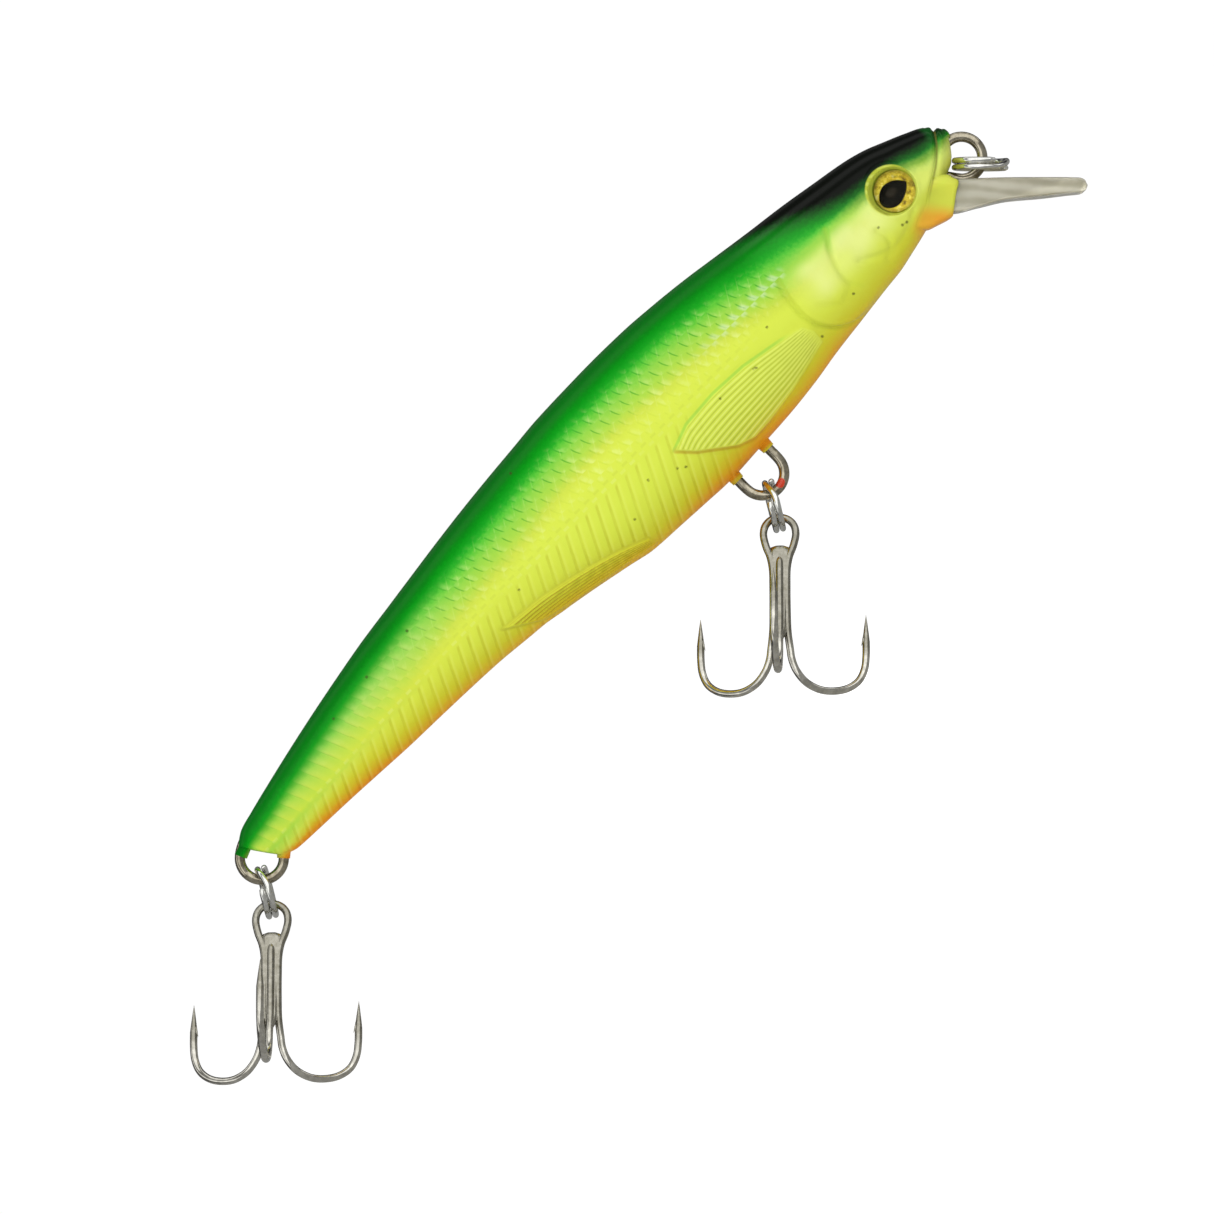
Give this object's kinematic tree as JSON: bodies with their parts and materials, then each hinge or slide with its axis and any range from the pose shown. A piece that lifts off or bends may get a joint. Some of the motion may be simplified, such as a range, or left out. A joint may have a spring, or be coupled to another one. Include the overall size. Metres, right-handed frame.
{
  "type": "crankbait lure",
  "caption": "Slender lipped minnow lure: two-shell hollow body with rolling weights, clear diving lip, domed eyes, wire hangers, split rings and two treble hooks.",
  "frame": {"origin": "on the top face of the diving lip, on the middle plane, 9.5 mm down the lip from where it leaves its collar", "axes": "+X towards the nose along the body, +Y the left-hand side of the fish, +Z towards the back"},
  "size_m": [0.1384, 0.0234, 0.0459],
  "materials": {
    "painted_shell": "clear-coated spray paint, black-green back through bright green and chartreuse to an orange belly, moulded scales under the paint",
    "clear_lip": "clear polished",
    "eye_foil": "gold foil with a black pupil",
    "eye_dome": "clear gloss dome",
    "hanger_steel": "satin drawn wire",
    "ring_steel": "bright plated",
    "hook_nickel": "bright black-nickel plate",
    "ballast_metal": "cast, dull",
    "ball_metal": "tumbled",
    "rattle_steel": "polished"
  },
  "bodies": {
    "lure_body": {"right_shell": "painted_shell", "left_shell": "painted_shell", "diving_lip": "clear_lip", "right_eye_foil": "eye_foil", "left_eye_foil": "eye_foil", "right_eye_dome": "eye_dome", "left_eye_dome": "eye_dome", "line_tie_wire": "hanger_steel", "belly_hanger_wire": "hanger_steel", "tail_hanger_wire": "hanger_steel", "chest_ballast": "ballast_metal"},
    "nose_ring": {"nose_split_ring": "ring_steel"},
    "belly_ring": {"belly_split_ring": "ring_steel"},
    "belly_treble": {"belly_treble_double": "hook_nickel", "belly_treble_single": "hook_nickel"},
    "tail_ring": {"tail_split_ring": "ring_steel"},
    "tail_treble": {"tail_treble_double": "hook_nickel", "tail_treble_single": "hook_nickel"},
    "ball_front": {"transfer_ball_front": "ball_metal"},
    "ball_middle": {"transfer_ball_middle": "ball_metal"},
    "ball_rear": {"transfer_ball_rear": "ball_metal"},
    "rattle": {"rattle_ball": "rattle_steel"}
  },
  "joints": [
    {"name": "nose_ring_swing", "type": "hinge", "parent": "lure_body", "child": "nose_ring", "pos_m": [-0.00503, 0, 0.00819], "axis": [0, -1, 0], "range_deg": [-5, 125]},
    {"name": "belly_ring_swing", "type": "hinge", "parent": "lure_body", "child": "belly_ring", "pos_m": [-0.04598, 0, -0.00312], "axis": [0.8567, 0, -0.5158], "range_deg": [-65, 105]},
    {"name": "belly_hook_swing", "type": "hinge", "parent": "belly_ring", "child": "belly_treble", "pos_m": [-0.04798, -0.00141, -0.00645], "axis": [0.1764, -0.9397, 0.293], "range_deg": [-50, 135]},
    {"name": "tail_ring_swing", "type": "hinge", "parent": "lure_body", "child": "tail_ring", "pos_m": [-0.11545, 0, 0.00629], "axis": [0.8567, 0, -0.5158], "range_deg": [-65, 105]},
    {"name": "tail_hook_swing", "type": "hinge", "parent": "tail_ring", "child": "tail_treble", "pos_m": [-0.11745, -0.00141, 0.00296], "axis": [0.1764, -0.9397, 0.293], "range_deg": [-120, 120]},
    {"name": "ball_transfer", "type": "slide", "parent": "lure_body", "child": "ball_front", "axis": [-1, 0, 0], "range_m": [0, 0.037]},
    {"name": "ball_middle_follow", "type": "slide", "parent": "lure_body", "child": "ball_middle", "axis": [-1, 0, 0], "range_m": [0, 0.037]},
    {"name": "ball_rear_follow", "type": "slide", "parent": "lure_body", "child": "ball_rear", "axis": [-1, 0, 0], "range_m": [0, 0.037]},
    {"name": "rattle_slide", "type": "slide", "parent": "lure_body", "child": "rattle", "axis": [-1, 0, 0], "range_m": [0, 0.0064]}
  ],
  "couplings": [
    {"joint": "ball_middle_follow", "follows": "ball_transfer", "ratio": 1},
    {"joint": "ball_rear_follow", "follows": "ball_transfer", "ratio": 1}
  ]
}
